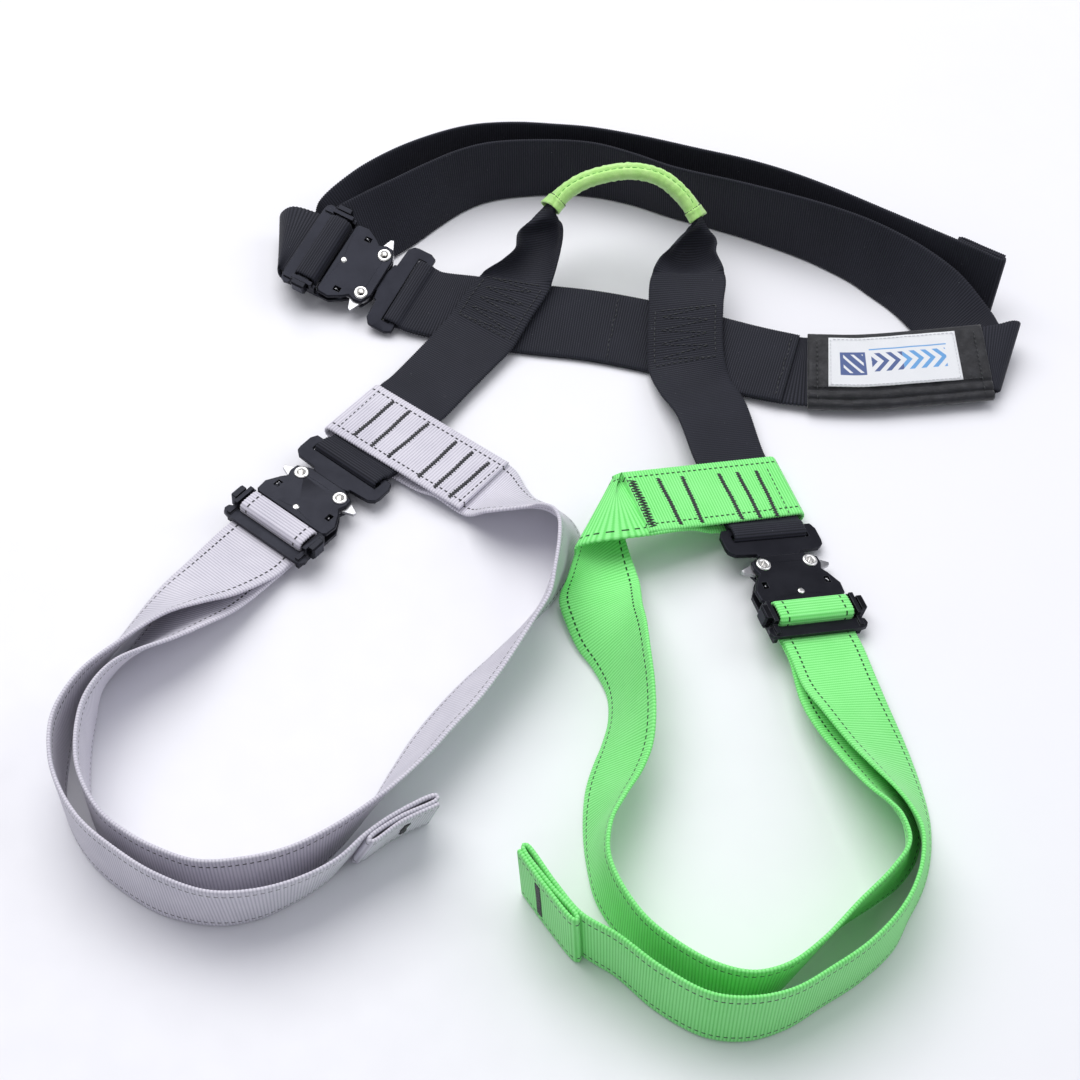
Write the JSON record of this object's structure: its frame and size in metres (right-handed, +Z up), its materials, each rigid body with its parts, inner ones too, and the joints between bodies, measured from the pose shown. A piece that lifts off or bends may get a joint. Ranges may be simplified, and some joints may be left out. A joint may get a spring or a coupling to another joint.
{
  "type": "tree climbing saddle",
  "caption": "Arborist saddle of webbing straps: waist belt and leg loops with two-lever quick-connect buckles, joined by a bridge strap that runs through a fabric sleeve.",
  "frame": {"origin": "centre of the footprint on the ground the saddle lies on", "axes": "+Z up, -Y from the waist belt towards the leg loops, +X towards the wearer's left hip end of the belt"},
  "size_m": [0.5339, 0.6112, 0.0798],
  "materials": {
    "black_webbing": "woven polyester webbing, fine cross ribs",
    "grey_webbing": "woven webbing with black tracer stitching",
    "green_webbing": "neon green woven webbing with black tracer stitching",
    "green_sleeve": "thin wrinkled tubular fabric",
    "label_fabric": null,
    "stitching": "dense bar tack thread",
    "black_plate": "satin black anodised, bevelled edges",
    "dark_adaptor": "satin black",
    "bright_rivet": "polished",
    "lever_steel": "satin",
    "bar_black": "gloss black"
  },
  "bodies": {
    "harness": {"grey_adaptor_plate": "dark_adaptor", "green_adaptor_plate": "dark_adaptor", "waist_adaptor_plate": "dark_adaptor", "waist_belt_front": "black_webbing", "bridge_strap": "black_webbing", "bridge_sleeve": "green_sleeve", "label_sleeve": "black_webbing", "woven_label": "label_fabric", "grey_leg_anchor": "grey_webbing", "green_leg_anchor": "green_webbing", "grey_bartacks": "stitching", "green_bartacks": "stitching", "bridge_box_stitching": "stitching"},
    "grey_buckle": {"grey_top_plate": "black_plate", "grey_bottom_frame": "black_plate", "grey_pivot_rivets": "bright_rivet", "grey_centre_rivet": "bright_rivet", "grey_lever_springs": "lever_steel", "grey_leg_loop": "grey_webbing", "grey_tail_bartack": "stitching"},
    "grey_lever_a": {"grey_lever_a": "lever_steel"},
    "grey_lever_b": {"grey_lever_b": "lever_steel"},
    "grey_bar": {"grey_slide_bar": "bar_black"},
    "green_buckle": {"green_top_plate": "black_plate", "green_bottom_frame": "black_plate", "green_pivot_rivets": "bright_rivet", "green_centre_rivet": "bright_rivet", "green_lever_springs": "lever_steel", "green_leg_loop": "green_webbing", "green_tail_bartack": "stitching"},
    "green_lever_a": {"green_lever_a": "lever_steel"},
    "green_lever_b": {"green_lever_b": "lever_steel"},
    "green_bar": {"green_slide_bar": "bar_black"},
    "waist_buckle": {"waist_top_plate": "black_plate", "waist_bottom_frame": "black_plate", "waist_pivot_rivets": "bright_rivet", "waist_centre_rivet": "bright_rivet", "waist_lever_springs": "lever_steel", "waist_belt_back": "black_webbing", "waist_tail_bartack": "stitching"},
    "waist_lever_a": {"waist_lever_a": "lever_steel"},
    "waist_lever_b": {"waist_lever_b": "lever_steel"},
    "waist_bar": {"waist_slide_bar": "bar_black"}
  },
  "joints": [
    {"name": "grey_release", "type": "slide", "parent": "harness", "child": "grey_buckle", "axis": [-0.6155, -0.7877, 0.0262], "range_m": [0, 0.028]},
    {"name": "grey_lever_a_press", "type": "hinge", "parent": "grey_buckle", "child": "grey_lever_a", "pos_m": [-0.15809, 0.03297, 0.01186], "axis": [0.0573, -0.0116, 0.9983], "range_deg": [0, 14], "stiffness_Nm_per_rad": 0.05, "springref_deg": -4.58},
    {"name": "grey_lever_b_press", "type": "hinge", "parent": "grey_buckle", "child": "grey_lever_b", "pos_m": [-0.1353, 0.01511, 0.01035], "axis": [-0.0573, 0.0116, -0.9983], "range_deg": [0, 14], "stiffness_Nm_per_rad": 0.05, "springref_deg": -4.58},
    {"name": "grey_bar_slip", "type": "slide", "parent": "grey_buckle", "child": "grey_bar", "axis": [0.6155, 0.7877, -0.0262], "range_m": [0, 0.0009]},
    {"name": "green_release", "type": "slide", "parent": "harness", "child": "green_buckle", "axis": [0.309, -0.9511, 0], "range_m": [0, 0.028]},
    {"name": "green_lever_a_press", "type": "hinge", "parent": "green_buckle", "child": "green_lever_a", "pos_m": [0.09834, -0.0366, 0.01521], "axis": [0.2301, 0.0748, 0.9703], "range_deg": [0, 14], "stiffness_Nm_per_rad": 0.05, "springref_deg": -4.58},
    {"name": "green_lever_b_press", "type": "hinge", "parent": "green_buckle", "child": "green_lever_b", "pos_m": [0.1251, -0.02791, 0.00819], "axis": [-0.2301, -0.0748, -0.9703], "range_deg": [0, 14], "stiffness_Nm_per_rad": 0.05, "springref_deg": -4.58},
    {"name": "green_bar_slip", "type": "slide", "parent": "green_buckle", "child": "green_bar", "axis": [-0.309, 0.9511, 0], "range_m": [0, 0.0009]},
    {"name": "waist_release", "type": "slide", "parent": "harness", "child": "waist_buckle", "axis": [-0.88, 0.4484, 0.1564], "range_m": [0, 0.028]},
    {"name": "waist_lever_a_press", "type": "hinge", "parent": "waist_buckle", "child": "waist_lever_a", "pos_m": [-0.11862, 0.20367, 0.02098], "axis": [0.0006, -0.3284, 0.9445], "range_deg": [0, 14], "stiffness_Nm_per_rad": 0.05, "springref_deg": -4.58},
    {"name": "waist_lever_b_press", "type": "hinge", "parent": "waist_buckle", "child": "waist_lever_b", "pos_m": [-0.13239, 0.17956, 0.0126], "axis": [-0.0006, 0.3284, -0.9445], "range_deg": [0, 14], "stiffness_Nm_per_rad": 0.05, "springref_deg": -4.58},
    {"name": "waist_bar_slip", "type": "slide", "parent": "waist_buckle", "child": "waist_bar", "axis": [0.88, -0.4484, -0.1564], "range_m": [0, 0.0009]}
  ]
}
